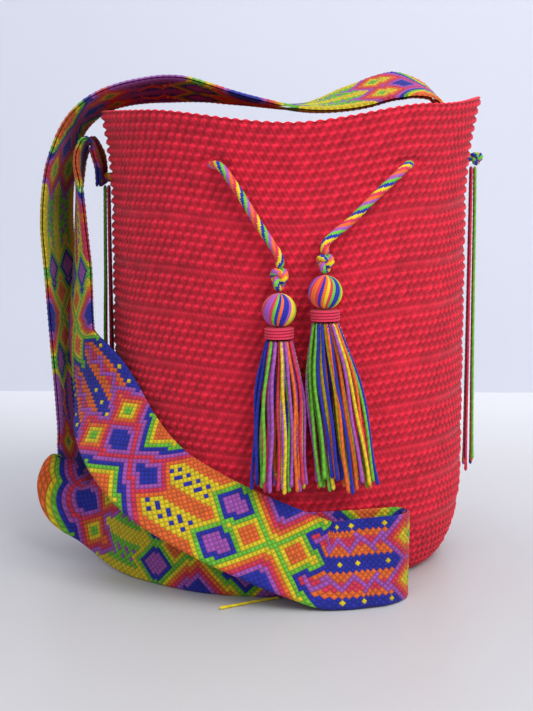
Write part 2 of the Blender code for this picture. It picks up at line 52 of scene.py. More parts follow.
FLARE_RISE = 0.060
BASE_THICKNESS = 0.0055
RIM_WAVE = {0: 0.010, 45: 0.004, 90: -0.009, 135: -0.006, 180: 0.000, 225: 0.000, 270: -0.008, 315: 0.004}
# Mouth holes, as angles round the bag, and where the strap's ties pass
DRAWSTRING_LEVEL = 0.272
FRONT_HOLES = (-113.0, -51.0)
BACK_HOLES = (30.0, 70.0, 110.0, 150.0)
HOLE_HALF_WIDTH = 0.0140
HOLE_HALF_HEIGHT = 0.0062
TIE_HOLE_RADIUS = 0.0042
TIE_LEVEL = {"left": 0.262, "right": 0.275}
# Drawstring and tassels
CORD_DIAMETER = 0.0062
CORD_GAP = 0.0008
CORD_SPACING = 0.014
CORD_DIP = 0.013
HEAD_RADIUS = 0.0105
BINDING_RADIUS = 0.0092
BINDING_HEIGHT = 0.0078
SKIRT_TOP_RADIUS = 0.0084
SKIRT_BOTTOM = 0.0715
KNOT_RADIUS = 0.0062
TASSELS = {
    "left": {"head": (-0.0055, 0.1845), "skirt_foot": (-0.0050, 0.0160), "knot_drop": 0.0215},
    "right": {"head": (0.0225, 0.1955), "skirt_foot": (0.0370, 0.0185), "knot_drop": 0.0185},
}
TASSEL_DEPTH = 0.0110
# Shoulder strap
STRAP_WIDTH = 0.055
STRAP_THICKNESS = 0.0036
STRAP_END_WIDTH = 0.032
STRAP_TAPER_LENGTH = 0.050
STRAP_COLUMNS = 6
STRAP_STEP = 0.0150
STRAP_TIGHTEN = 0.016
KNOT_RELIEF = 0.0004
# Strap ties and loose yarn
TIE_KNOT_RADIUS = 0.0052
YARN_DIAMETER = 0.0018
FRINGE_YARNS = 7
FRINGE_ROW = 4
FRINGE_SPREAD = 0.0024
FRINGE_SHIFT = {"left": 0.0030, "right": 0.0}
FRINGE_FOOT = {"left": 0.118, "right": 0.058}
SEAT_GAP = 0.0004
# The strap's route: centre as shares of the bag's half width, half depth and height, the direction across
# it towards its +v edge, and how far it curls, in degrees.
# It runs from the left tie down to the fold, along the base, up outside and over the mouth to the right tie.
STRAP_ROUTE = (
    ((-1.064, 0.03, 0.8425), (0.00, -1.00, 0.00), 0),
    ((-1.070, 0.02, 0.897), (0.00, -1.00, 0.00), 0),
    ((-1.123, 0.01, 0.938), (0.00, -1.00, 0.00), 0),
    ((-1.180, -0.01, 0.900), (0.03, -1.00, 0.00), 0),
    ((-1.182, -0.05, 0.820), (0.18, -0.98, 0.00), 8),
    ((-1.172, -0.12, 0.656), (0.32, -0.94, 0.00), 16),
    ((-1.162, -0.25, 0.492), (0.42, -0.90, 0.03), 16),
    ((-1.030, -0.52, 0.397), (0.74, -0.62, 0.10), 15),
    ((-0.885, -0.83, 0.315), (0.85, -0.05, 0.35), 8),
    ((-0.689, -1.02, 0.243), (0.78, 0.25, 0.52), 5),
    ((-0.410, -1.130, 0.184), (0.60, 0.42, 0.66), 4),
    ((-0.098, -1.185, 0.131), (0.45, 0.45, 0.74), 4),
    ((0.205, -1.180, 0.085), (0.36, 0.46, 0.78), 4),
    ((0.393, -1.145, 0.068), (0.28, 0.44, 0.83), 4),
    ((0.530, -1.115, 0.074), (0.14, 0.26, 0.93), 0),
    ((0.612, -1.022, 0.081), (0.04, 0.12, 0.98), 0),
    ((0.592, -0.915, 0.087), (0.00, 0.04, 0.99), 0),
    ((0.410, -0.943, 0.0892), (0.00, 0.02, 1.00), 0),
    ((0.164, -1.020, 0.0892), (0.00, 0.03, 1.00), 0),
    ((-0.123, -1.033, 0.0892), (0.00, 0.03, 1.00), 0),
    ((-0.451, -0.962, 0.0892), (0.00, 0.03, 1.00), 0),
    ((-0.754, -0.745, 0.0900), (0.02, 0.03, 1.00), 0),
    ((-0.984, -0.47, 0.105), (-0.03, 0.30, 0.95), 0),
    ((-1.150, -0.17, 0.164), (0.05, 0.72, 0.68), 10),
    ((-1.254, 0.00, 0.289), (0.14, 0.96, 0.20), 20),
    ((-1.290, 0.05, 0.443), (0.20, 0.97, 0.04), 25),
    ((-1.315, 0.05, 0.623), (0.22, 0.97, 0.00), 28),
    ((-1.332, 0.04, 0.770), (0.22, 0.97, 0.00), 25),
    ((-1.290, 0.02, 0.892), (0.18, 0.98, -0.06), 15),
    ((-1.189, 0.00, 0.982), (0.05, 0.98, -0.14), 8),
    ((-0.975, -0.01, 1.036), (0.00, 0.97, -0.18), 0),
    ((-0.615, 0.00, 1.054), (0.00, 0.95, -0.26), 0),
    ((-0.246, 0.00, 1.030), (0.00, 0.99, -0.06), 0),
    ((0.082, 0.00, 1.013), (0.00, 1.00, 0.05), 0),
    ((0.369, 0.01, 1.036), (0.00, 0.94, 0.30), 0),
    ((0.615, 0.03, 1.062), (0.00, 0.93, 0.34), 0),
    ((0.810, 0.04, 1.039), (0.00, 0.98, 0.15), 0),
    ((0.862, 0.05, 0.984), (0.00, 1.00, 0.00), 0),
    ((0.862, 0.04, 0.934), (0.00, 1.00, 0.00), 0),
    ((0.862, 0.02, 0.880), (0.00, 1.00, 0.00), 0),
)
# Where the loose yellow yarn lies on the floor, from under the strap to its sealed end
LOOSE_YARN = (
    (-0.0050, -0.1139, 0.0012),
    (-0.0110, -0.1170, 0.0011),
    (-0.0210, -0.1222, 0.0011),
    (-0.0320, -0.1290, 0.0011),
    (-0.0420, -0.1350, 0.0011),
)

# Colours, linear
CORAL = (0.66, 0.030, 0.085)
BODY_RED = (0.72, 0.010, 0.038)
PURPLE = (0.38, 0.085, 0.44)
BLUE = (0.014, 0.022, 0.36)
GREEN = (0.155, 0.50, 0.035)
YELLOW = (0.74, 0.56, 0.012)
ORANGE = (0.80, 0.14, 0.022)
NAVY = (0.008, 0.011, 0.10)
SIX = (PURPLE, GREEN, BLUE, ORANGE, YELLOW, CORAL)

# Crochet
STITCHES = 122
ROWS = 56
STITCH_FACES = 4
ROW_FACES = 3
RIB_HEIGHTS = (0.240, 0.206, 0.175, 0.144, 0.115, 0.088, 0.064, 0.038)
STITCH_RELIEF = 0.0024
STITCH_LEAN = 0.5

# Strap knots
KNOT_SIZE = 0.00195
KNOT_HEIGHT = 0.0012
LATTICE_STRETCH = 1.16
LINE_HALF_WIDTH = 0.0014
BAND_WIDTH = 0.0028


def rim_wave(angle):
    """How far the mouth's edge stands above or below its mean level, at an angle in degrees."""
    stations = sorted(RIM_WAVE)
    angle %= 360
    step = stations[1] - stations[0]
    before = stations[int(angle // step)]
    after = stations[(int(angle // step) + 1) % len(stations)]
    share = (angle - before) / step
    share = share * share * (3 - 2 * share)
    return RIM_WAVE[before] * (1 - share) + RIM_WAVE[after] * share


def girth(height):
    """The wall's half width as a share of the bag's, from the tucked-in foot to the flared mouth."""
    foot = 1.0
    if height < BASE_RISE:
        drop = 1 - height / BASE_RISE
        foot = BASE_SHARE + (1 - BASE_SHARE) * math.sqrt(max(0.0, 1 - drop * drop))
    flare = max(0.0, height - (BAG_HEIGHT - FLARE_RISE)) / FLARE_RISE
    return foot * (1 + MOUTH_FLARE * flare * flare)


def wall_point(angle, height, outwards=0.0):
    """A point at this distance from the wall's outer surface, at an angle in degrees."""
    share = girth(height)
    turn = math.radians(angle)
    return Vector(
        (
            (BAG_HALF_WIDTH * share + outwards) * math.cos(turn),
            (BAG_HALF_DEPTH * share + outwards) * math.sin(turn),
            height,
        )
    )


def strap_place(shares):
    return (shares[0] * BAG_HALF_WIDTH, shares[1] * BAG_HALF_DEPTH, shares[2] * BAG_HEIGHT)


def smooth_path(points, step, tighten=0.0):
    """Points about a step apart along a smooth curve through the given points, closer where it bends sharply."""
    p = np.array([list(point) for point in points], float)
    ends = np.vstack([2 * p[0] - p[1], p, 2 * p[-1] - p[-2]])
    dense = []
    for i in range(1, len(ends) - 2):
        a, b, c, d = ends[i - 1 : i + 3]
        for t in np.linspace(0, 1, 24, endpoint=False):
            dense.append(
                0.5 * (2 * b + (c - a) * t + (2 * a - 5 * b + 4 * c - d) * t**2 + (3 * b - a - 3 * c + d) * t**3)
            )
    dense.append(ends[-2])
    dense = np.array(dense)
    along = np.concatenate([[0], np.cumsum(np.linalg.norm(np.diff(dense, axis=0), axis=1))])
    ahead = np.gradient(dense, axis=0)
    ahead /= np.linalg.norm(ahead, axis=1)[:, None]
    bend = np.linalg.norm(np.diff(ahead, axis=0), axis=1) / np.maximum(np.diff(along), 1e-9)
    effort = np.concatenate([[0], np.cumsum(np.diff(along) * (1 + tighten * np.minimum(bend, 200)))])
    count = max(2, round(effort[-1] / step) + 1)
    wanted = np.interp(np.linspace(0, effort[-1], count), effort, along)
    return np.stack([np.interp(wanted, along, dense[:, k]) for k in range(3)], axis=1), wanted


def strap_frames(step):
    """Centre, across and face directions, curl and length along the strap, every step."""
    centres = [strap_place(place) for place, _, _ in STRAP_ROUTE]
    keyed = [[*place, *across, curl * 0.001] for place, across, curl in STRAP_ROUTE]
    p = np.array(keyed, float)
    line, wanted = smooth_path(centres, step, STRAP_TIGHTEN)
    marks = [0.0]
    for a, b in zip(range(len(centres) - 1), range(1, len(centres))):
        part, _ = smooth_path([centres[max(a - 1, 0)], centres[a], centres[b], centres[min(b + 1, len(centres) - 1)]], 0.002)
        near = [np.argmin(np.linalg.norm(part - np.array(centres[k]), axis=1)) for k in (a, b)]
        marks.append(marks[-1] + 0.002 * abs(near[1] - near[0]))
    marks = np.array(marks) * (wanted[-1] / marks[-1])
    across = np.stack([np.interp(wanted, marks, p[:, 3 + k]) for k in range(3)], axis=1)
    curl = np.interp(wanted, marks, p[:, 6]) * 1000
    ahead = np.gradient(line, axis=0)
    ahead /= np.linalg.norm(ahead, axis=1)[:, None]
    across -= ahead * np.sum(across * ahead, axis=1)[:, None]
    across /= np.linalg.norm(across, axis=1)[:, None]
    face = np.cross(ahead, across)
    over = int(np.argmin(np.abs(line[:, 0]) + (line[:, 2] < BAG_HEIGHT)))
    columns = np.linspace(-0.5, 0.5, STRAP_COLUMNS + 1)
    moves = []
    for i, along in enumerate(wanted):
        width = strap_width(along, wanted[-1])
        row = [Vector(curled_point(line[i], across[i], face[i], width, curl[i], v, 0.0)) for v in columns]
        moves.append(settled(row, abs(face[i][2]), i > over))
    return line + np.array(moves), across, face, curl, wanted


def strap_width(along, total):
    """The strap narrows to its tie at each end."""
    near_end = min(along, total - along)
    share = min(1.0, near_end / STRAP_TAPER_LENGTH)
    return STRAP_END_WIDTH + (STRAP_WIDTH - STRAP_END_WIDTH) * math.sin(share * math.pi / 2)


def curled_point(centre, across, face, width, curl, v, lift):
    """A point at v (-0.5 to 0.5) across a strap curled round its length, lifted off its middle surface."""
    bend = math.radians(curl)
    if abs(bend) < 0.02:
        return centre + across * (v * width) + face * lift
    radius = width / bend
    turn = v * bend
    rise = radius * (math.cos(turn) - math.cos(bend / 2) * 0.5 - 0.5)
    return (
        centre
        + across * ((radius + lift) * math.sin(turn))
        + face * (rise + lift * math.cos(turn))
    )


def settled(points, steepness, inside):
    """How far a row of points across the strap has to move to lie clear of the bag's wall and of the floor."""
    half = STRAP_THICKNESS / 2 + KNOT_RELIEF
    clear = half + 2 * SEAT_GAP
    lowest = min(point.z for point in points) - half * steepness
    move = Vector((0, 0, max(0.0, 0.0002 - lowest)))
    worst = 0.0
    for point in points:
        angle = math.degrees(math.atan2(point.y / BAG_HALF_DEPTH, point.x / BAG_HALF_WIDTH))
        edge = BAG_HEIGHT + rim_wave(angle)
        outer = wall_point(angle, min(point.z, edge)).to_2d().length
        reach = point.to_2d().length
        if point.z > edge + clear or reach < outer - WALL * 1.1 - clear:
            continue
        if point.z > edge - 0.012 and not inside and reach < outer + clear * 0.6:
            move.z = max(move.z, edge + clear - point.z)
        elif inside:
            worst = min(worst, outer - WALL * 1.1 - clear - reach)
        else:
            worst = max(worst, outer + clear - reach)
    middle = points[len(points) // 2].to_2d().normalized()
    return move + Vector((middle.x * worst, middle.y * worst, 0))


def leg_points(side):
    """The drawstring's free leg, from its knot up the front of the bag to its hole."""
    end = drawstring_end(side)
    angle = FRONT_HOLES[0 if side == "left" else 1]
    clear = CORD_DIAMETER / 2 + 2 * CORD_GAP
    lean = 1 if side == "left" else -1
    points = [end, end + Vector((0, 0, CORD_DIAMETER * 0.9))]
    hole = wall_point(angle + lean * 5, DRAWSTRING_LEVEL - 0.003, clear)
    for share in (0.3, 0.5, 0.7, 0.88):
        x_here = end.x + (hole.x - end.x) * share**1.15
        z_here = end.z + (hole.z - end.z) * share
        turn = -math.degrees(math.acos(x_here / (BAG_HALF_WIDTH * girth(z_here) + clear)))
        points.append(wall_point(turn, z_here, clear + (1 - share) * 0.002))
    points.append(wall_point(angle + lean * 4.5, DRAWSTRING_LEVEL - 0.002, clear))
    return points


def drawstring_end(side):
    """Where the drawstring goes into its tassel's knot."""
    x, head = TASSELS[side]["head"]
    top = head + TASSELS[side]["knot_drop"] + KNOT_RADIUS + SEAT_GAP
    return Vector((x, -(BAG_HALF_DEPTH + CORD_DIAMETER / 2 + 0.0045), top))


def drawstring_route():
    """Left knot, left front hole, round inside with two stretches outside the back, right front hole, right knot."""
    inside = -(WALL + CORD_DIAMETER / 2 + CORD_GAP + 0.0003)
    outside = CORD_DIAMETER / 2 + CORD_GAP
    middle = -WALL / 2
    route = leg_points("left")
    start, finish = FRONT_HOLES[0], FRONT_HOLES[1] - 360.0
    route.append(wall_point(start, DRAWSTRING_LEVEL, middle))
    route.append(wall_point(start - 4.5, DRAWSTRING_LEVEL, inside))
    place = inside
    last = start - 4.5
    for hole in [a - 360.0 for a in sorted(BACK_HOLES, reverse=True)]:
        run = np.linspace(last, hole + 4.5, max(3, int((last - hole) / 12)))[1:]
        route.extend(wall_point(turn, DRAWSTRING_LEVEL, place) for turn in run)
        route.append(wall_point(hole, DRAWSTRING_LEVEL, middle))
        place = outside if place == inside else inside
        last = hole - 4.5
        route.append(wall_point(last, DRAWSTRING_LEVEL, place))
    run = np.linspace(last, finish + 4.5, 14)[1:]
    for turn in run:
        dip = CORD_DIP * math.exp(-(((turn + 360.0) / 13.0) ** 2))
        route.append(wall_point(turn, DRAWSTRING_LEVEL - dip, place))
    route.append(wall_point(finish, DRAWSTRING_LEVEL, middle))
    route.extend(reversed(leg_points("right")))
    return route


class Node:
    """A shader socket on which Python's operators make Math nodes."""

    def __init__(self, tree, socket):
        self.tree, self.socket = tree, socket

    def math(self, operation, *others):
        node = self.tree.nodes.new("ShaderNodeMath")
        node.operation = operation
        for slot, value in zip(node.inputs, (self, *others)):
            if isinstance(value, Node):
                self.tree.links.new(value.socket, slot)
            else:
                slot.default_value = value
        return Node(self.tree, node.outputs[0])

    def other(self, kind, output=0, settings=(), **inputs):
        """Any other node: settings are its own attributes, and inputs its sockets by name."""
        node = self.tree.nodes.new(kind)
        for name, value in dict(settings).items():
            setattr(node, name, value)
        for name, value in inputs.items():
            slot = node.inputs[name.replace("_", " ")]
            if isinstance(value, Node):
                self.tree.links.new(value.socket, slot)
            else:
                slot.default_value = value
        return Node(self.tree, node.outputs[output])

    def __add__(self, other):
        return self.math("ADD", other)

    def __radd__(self, other):
        return self.math("ADD", other)

    def __sub__(self, other):
        return self.math("SUBTRACT", other)

    def __rsub__(self, other):
        return (self * -1.0) + other

    def __mul__(self, other):
        return self.math("MULTIPLY", other)

    def __rmul__(self, other):
        return self.math("MULTIPLY", other)

    def __truediv__(self, other):
        return self.math("DIVIDE", other)


def new_material(name, roughness=0.8):
    material = bpy.data.materials.new(name)
    material.use_nodes = True
    tree = material.node_tree
    shader = tree.nodes["Principled BSDF"]
    shader.inputs["Roughness"].default_value = roughness
    shader.inputs["Specular IOR Level"].default_value = 0.28
    return material, tree, shader, Node(tree, None)


def yarn_material(name, colour=None, fibre=0.35, ply=None, sheen=0.12, roughness=0.78):
    """Soft twisted yarn. With no colour it takes the mesh's painted one. ply is the UV stripes (across, along)."""
    material, tree, shader, start = new_material(name, roughness)
    shader.inputs["Sheen Weight"].default_value = sheen
    shader.inputs["Sheen Roughness"].default_value = 0.5
    place = start.other("ShaderNodeTexCoord", 3)
    fuzz = start.other("ShaderNodeTexNoise", 0, Vector=place, Scale=1400.0, Detail=2.0)
    patch = start.other("ShaderNodeTexNoise", 0, Vector=place, Scale=55.0, Detail=3.0)
    shade = 0.80 + patch * 0.28 + fuzz * 0.12
    if colour is None:
        paint = start.other("ShaderNodeAttribute", 0, {"attribute_name": "paint"})
    else:
        paint = start.other("ShaderNodeRGB")
        paint.socket.default_value = (*colour, 1.0)
    grey = start.other("ShaderNodeCombineColor", 0, Red=shade, Green=shade, Blue=shade)
    tinted = tree.nodes.new("ShaderNodeMix")
    tinted.data_type, tinted.blend_type = "RGBA", "MULTIPLY"
    tinted.inputs[0].default_value = 1.0
    tree.links.new(paint.socket, tinted.inputs[6])
    tree.links.new(grey.socket, tinted.inputs[7])
    tree.links.new(tinted.outputs[2], shader.inputs["Base Color"])
    height = fuzz * fibre
    if ply:
        uv = start.other("ShaderNodeUVMap", 0, {"uv_map": "ply"})
        across = start.other("ShaderNodeSeparateXYZ", 0, Vector=uv)
        along = start.other("ShaderNodeSeparateXYZ", 1, Vector=uv)
        height = height + ((across * ply[0] + along * ply[1]) * (2 * math.pi)).math("SINE") * ply[2]
    bump = start.other("ShaderNodeBump", 0, Height=height, Strength=0.55, Distance=0.00035)
    tree.links.new(bump.socket, shader.inputs["Normal"])
    return material


def grid_mesh(name, points, wrap, paint=None, uv=None, extra_faces=()):
    """A mesh from a rows by columns by 3 array. paint is a colour for each face, uv a pair for each vertex."""
    rows, columns = points.shape[:2]
    number = np.arange(rows * columns).reshape(rows, columns)
    after = np.roll(number, -1, axis=1) if wrap else number[:, 1:]
    here = number if wrap else number[:, :-1]
    faces = np.stack([here[:-1], after[:-1], after[1:], here[1:]], axis=-1).reshape(-1, 4)
    mesh = bpy.data.meshes.new(name)
    mesh.from_pydata(points.reshape(-1, 3).tolist(), [], faces.tolist() + [list(f) for f in extra_faces])
    mesh.polygons.foreach_set("use_smooth", [True] * len(mesh.polygons))
    if paint is not None:
        colours = np.ones((len(mesh.loops), 4), np.float32)
        flat = paint.reshape(-1, 3)
        colours[: len(faces) * 4, :3] = np.repeat(flat, 4, axis=0)
        if len(mesh.loops) > len(faces) * 4:
            colours[len(faces) * 4 :, :3] = flat[-1]
        mesh.color_attributes.new("paint", "FLOAT_COLOR", "CORNER").data.foreach_set("color", colours.ravel())
    if uv is not None:
        layer = mesh.uv_layers.new(name="ply")
        corner = np.empty(len(mesh.loops), np.int32)
        mesh.loops.foreach_get("vertex_index", corner)
        layer.data.foreach_set("uv", uv.reshape(-1, 2)[corner].astype(np.float32).ravel())
    mesh.validate()
    return mesh


def add_piece(name, mesh, material, *nodes, slot=None):
    piece = bpy.data.objects.new(name, mesh)
    bpy.context.scene.collection.objects.link(piece)
    piece.data.materials.append(material)
    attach(piece, "root")
    if nodes:
        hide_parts(*nodes)
    return piece


def joined(meshes):
    """One mesh from several, with their paint and ply kept."""
    work = bmesh.new()
    for mesh in meshes:
        work.from_mesh(mesh)
    result = bpy.data.meshes.new(meshes[0].name)
    work.to_mesh(result)
    work.free()
    for mesh in meshes:
        bpy.data.meshes.remove(mesh)
    return result


def frames_along(line):
    """Two directions square to the line at each point, carried along it with no twist."""
    ahead = np.gradient(line, axis=0)
    ahead /= np.linalg.norm(ahead, axis=1)[:, None]
    side = np.empty_like(line)
    start = np.cross(ahead[0], (0.0, 1.0, 0.0) if abs(ahead[0][1]) < 0.8 else (1.0, 0.0, 0.0))
    side[0] = start / np.linalg.norm(start)
    for i in range(1, len(line)):
        moved = side[i - 1] - ahead[i] * np.dot(side[i - 1], ahead[i])
        side[i] = moved / np.linalg.norm(moved)
    return ahead, side, np.cross(ahead, side)


def twisted(name, points, radius, colours, turn=0.006, sides=8, spacing=0.0013, depth=0.22, fray=0.0, start=0.0):
    """A laid yarn or cord: a tube with one lobe for each colour, turning once in the given length."""
    line, along = smooth_path(points, spacing)
    _, side, up = frames_along(line)
    plies = len(colours)
    angle = np.linspace(0, 2 * math.pi, sides, endpoint=False)[None, :] + np.zeros((len(line), 1))
    phase = angle - (along[:, None] / turn) * 2 * math.pi - start
    lobe = np.abs(np.cos(phase * plies / 2))
    reach = radius * (1 - depth * (1 - lobe))
    ends = np.minimum(along, along[-1] - along)[:, None]
    reach = reach * np.minimum(1.0, 0.35 + ends / (radius * 1.6))
    if fray:
        reach *= 1 + fray * np.maximum(0, 1 - (along[-1] - along)[:, None] / 0.012)
    places = line[:, None] + side[:, None] * (reach * np.cos(angle))[..., None] + up[:, None] * (reach * np.sin(angle))[..., None]
    owner = np.floor(((phase + math.pi / plies) % (2 * math.pi)) / (2 * math.pi) * plies).astype(int) % plies
    paint = np.array(colours)[owner[:-1]]
    count = len(places) * sides
    caps = [list(range(sides))[::-1], list(range(count - sides, count))]
    uv = np.stack([angle / (2 * math.pi), np.broadcast_to(along[:, None] / turn, angle.shape)], axis=-1)
    return grid_mesh(name, places, True, paint, uv, caps)


def waved(value, seed, scale):
    """Smooth noise from a few seeded sines, about -1 to 1."""
    rng = np.random.default_rng(seed)
    total = 0.0
    for k in range(4):
        total = total + math.sin(value * scale * (0.7 + 0.6 * k + rng.random()) + rng.random() * 6.28) / (1 + k)
    return total / 2.0


def make_camera():
    data = bpy.data.cameras.new("camera")
    camera = bpy.data.objects.new("camera", data)
    bpy.context.scene.collection.objects.link(camera)
    data.sensor_width = 36
    data.lens = LENS_PIXELS / 711 * 36
    camera.location = CAMERA_PLACE
    pitch = math.radians(CAMERA_DOWN)
    yaw = math.radians(CAMERA_TURN)
    ahead = Vector((math.sin(yaw) * math.cos(pitch), math.cos(yaw) * math.cos(pitch), -math.sin(pitch)))
    camera.rotation_mode = "QUATERNION"
    camera.rotation_quaternion = ahead.to_track_quat("-Z", "Y")
    data.clip_start, data.clip_end = 0.05, 20
    bpy.context.scene.camera = camera


LENS_PIXELS = 1390
CAMERA_PLACE = (0.0, -0.96, 0.287)
CAMERA_DOWN = 8.8
CAMERA_TURN = -0.9


# Drawstring, ties and loose yarn
def make_cords(materials):
    route = [Vector(p) for p in drawstring_route()]
    colours = (YELLOW, BLUE, GREEN, PURPLE, ORANGE, CORAL)
    sampled, _ = smooth_path(route, CORD_SPACING)
    rise = np.array([0, 0, CORD_DIAMETER * 0.6])
    points = np.array([sampled[0], sampled[0] + rise, *sampled[1:-1], sampled[-1] + rise, sampled[-1]])
    into_knots = points.copy()
    into_knots[[0, -1], 2] -= 0.0035
    mesh = twisted("drawstring", into_knots, CORD_DIAMETER / 2 * 0.90, colours, 0.024, 24, 0.0014, 0.34)
    string = add_piece("drawstring_cord", mesh, materials["cord"], "drawstring", slot="braid_yarn")
    line, along = smooth_path(points, 0.006)
    with_pieces = make_tassels(materials)


def yarn_cord(name, node, points, slot, colours, material, start=0.0):
    mesh = twisted(name, points, YARN_DIAMETER / 2 * 1.04, colours, 0.0075, 8, 0.0014, 0.22, 0.35, start)
    piece = add_piece(name, mesh, material, node, slot=slot)
    line, along = smooth_path(points, 0.004)


FRINGE_COLOURS = (CORAL, PURPLE, BLUE, GREEN, YELLOW, ORANGE)
FRINGE_SLOTS = ("coral_yarn", "purple_yarn", "blue_yarn", "green_yarn", "yellow_yarn", "orange_yarn")


def fringe_points(side, k):
    sign = -1 if side == "left" else 1
    level = TIE_LEVEL[side] - TIE_KNOT_RADIUS - SEAT_GAP
    wall = BAG_HALF_WIDTH * girth(level)
    row, column = divmod(k, FRINGE_ROW)
    reach = wall + 0.0017 + YARN_DIAMETER * 0.5 + row * FRINGE_SPREAD
    shift = (column - (FRINGE_ROW - 1) / 2) * FRINGE_SPREAD + FRINGE_SHIFT[side]
    foot = FRINGE_FOOT[side] + 0.010 * ((k * 5) % 7) / 7
    return [
        (sign * reach, shift, level),
        (sign * (reach + 0.0004 * row), shift * 1.05, level - 0.03),
        (sign * (reach + 0.0008 * row), shift * 1.3, (level + foot) / 2),
        (sign * (reach + 0.0014 * row), shift * 1.6, foot + 0.04),
        (sign * (reach + 0.0020 * row), shift * 1.9, foot),
    ]


def make_fringes(materials):
    for side in ("left", "right"):
        for k in range(FRINGE_YARNS):
            tone = (k * 2 + k // 3) % 6
            colour = FRINGE_COLOURS[tone]
            # Painted shade: the second ply is the same yarn painted darker, for the shade in the twist.
            painted_shade_ply = tuple(c * 0.8 for c in colour)
            name = f"{side}_tie_yarn_{k + 1}"
            yarn_cord(name + "_strand", name, fringe_points(side, k), FRINGE_SLOTS[tone], (colour, painted_shade_ply), materials["yarn"], k)
    # The loose yarn's second ply is also painted darker, as painted shade in the twist.
    yarn_cord("loose_yarn_strand", "loose_yarn", LOOSE_YARN, "yellow_yarn", (YELLOW, tuple(c * 0.8 for c in YELLOW)), materials["yarn"], 0.0)


# Tassels
def knot_mesh(name, centre, radius, height, cord, colours):
    """A small knot of cord: a tube on a closed trefoil line, stretched to the given height."""
    turns = np.linspace(0, 2 * math.pi, 60)
    x = np.sin(turns) + 2 * np.sin(2 * turns)
    y = np.cos(turns) - 2 * np.cos(2 * turns)
    z = -np.sin(3 * turns)
    room = radius - cord
    points = np.stack([x / 3 * room, z * room * 0.55, y / 3 * (height / 2 - cord)], axis=1) + np.array(centre)
    return twisted(name, points, cord, colours, 0.012, 14, 0.0011, 0.28)


def head_mesh(name, centre, radius, colours, seed):
    """The tassel's folded top: strands drawn down over a ball, each a ridge."""
    strands = len(colours)
    sides = strands * 4
    latitudes = np.radians(np.linspace(84, -62, 26))
    angle = np.linspace(0, 2 * math.pi, sides, endpoint=False)
    rows = []
    for t in latitudes:
        phase = angle * strands / 2
        ridge = 1 - 0.075 * (1 - np.abs(np.cos(phase))) * min(1.0, math.cos(t) * 2.2)
        turned_by = angle + 0.30 * math.sin(t)
        reach = radius * ridge
        rows.append(
            np.stack(
                [
                    centre[0] + reach * math.cos(t) * np.cos(turned_by),
                    centre[1] + reach * math.cos(t) * np.sin(turned_by),
                    centre[2] + radius * math.sin(t) + 0 * angle,
                ],
                axis=1,
            )
        )
    points = np.array(rows)
    owner = ((np.arange(sides) + 2) // 4) % strands
    paint = np.broadcast_to(np.array(colours)[owner][None], (len(rows) - 1, sides, 3))
    count = points.shape[0] * sides
    uv = np.stack(np.meshgrid(np.linspace(0, strands, sides), np.linspace(0, 6, len(rows))), axis=-1)
    return grid_mesh(name, points, True, paint, uv, [list(range(sides))[::-1], list(range(count - sides, count))])


def binding_mesh(name, centre, radius, height, turns):
    """A close winding of yarn round the neck."""
    sides, per_turn = 40, 7
    steps = turns * per_turn
    points = []
    for k in range(steps + 1):
        drop = k / steps
        wave = abs(math.sin(math.pi * drop * turns)) ** 0.6
        ends = min(1.0, 6 * min(drop, 1 - drop) + 0.55)
        reach = radius * (0.86 + 0.14 * wave) * ends
        angle = np.linspace(0, 2 * math.pi, sides, endpoint=False)
        slope = height / turns * 0.35 * np.cos(angle)
        z = centre[2] - height * (0.04 + 0.92 * drop) + slope * 0.4 * math.sin(math.pi * drop)
        points.append(np.stack([centre[0] + reach * np.cos(angle), centre[1] + reach * np.sin(angle), z], axis=1))
    points = np.array(points)
    paint = np.broadcast_to(np.array(CORAL), (steps, sides, 3))
    count = points.shape[0] * sides
    uv = np.stack(np.meshgrid(np.linspace(0, 24, sides), np.linspace(0, turns, steps + 1)), axis=-1)
    return grid_mesh(name, points, True, paint, uv, [list(range(sides))[::-1], list(range(count - sides, count))])


def skirt_mesh(name, side, seed):
    """The tassel's hanging yarns, packed in rings under the neck and each with its own drift."""
    rng = np.random.default_rng(seed)
    x, head_level = TASSELS[side]["head"]
    foot_x, foot_radius = TASSELS[side]["skirt_foot"]
    depth = -(BAG_HALF_DEPTH + HEAD_RADIUS + 0.0012)
    top = head_level - HEAD_RADIUS * 0.92 - SEAT_GAP - BINDING_HEIGHT - SEAT_GAP
    meshes = []
    radius = 0.00112
    rings = ((1.0, 22), (0.74, 17), (0.46, 11), (0.16, 4))
    number = 0
    for share, many in rings:
        for k in range(many):
            turn = 2 * math.pi * (k + 0.37 * number % 1.0) / many + rng.normal(0, 0.05)
            colour = SIX[int(rng.integers(0, 6))]
            number += 1
            length = 1.0 - abs(rng.normal(0, 0.045)) - (0.05 if share < 0.5 else 0)
            swing = rng.normal(0, 0.0012, 2)
            wave = rng.random() * 6.28
            points = []
            for t in np.linspace(0, length, 9):
                bulge = math.sin(min(1.0, t * 2.2) * math.pi / 2)
                reach = SKIRT_TOP_RADIUS * 0.86 + (foot_radius * 0.97 - SKIRT_TOP_RADIUS * 0.86) * bulge * (0.75 + 0.25 * t)
                reach_y = min(reach, TASSEL_DEPTH * 0.93)
                loose = 0.0006 * math.sin(t * 9 + wave) * min(1.0, t * 4)
                points.append(
                    (
                        x + (foot_x - x) * t + share * reach * math.cos(turn) + loose + swing[0] * t,
                        depth + share * reach_y * math.sin(turn) + loose * 0.5 + swing[1] * t * 0.6,
                        top + (SKIRT_BOTTOM - top) * t,
                    )
                )
            points = [(p[0], min(p[1], -BAG_HALF_DEPTH - 0.0016), p[2]) for p in points]
            # Painted shade: each strand's second ply is its colour painted darker, for the shade in the twist.
            shade = tuple(c * 0.78 for c in colour)
            meshes.append(twisted(name, points, radius, (colour, shade), 0.0052, 7, 0.00125, 0.25, 0.3, wave))
    return joined(meshes)


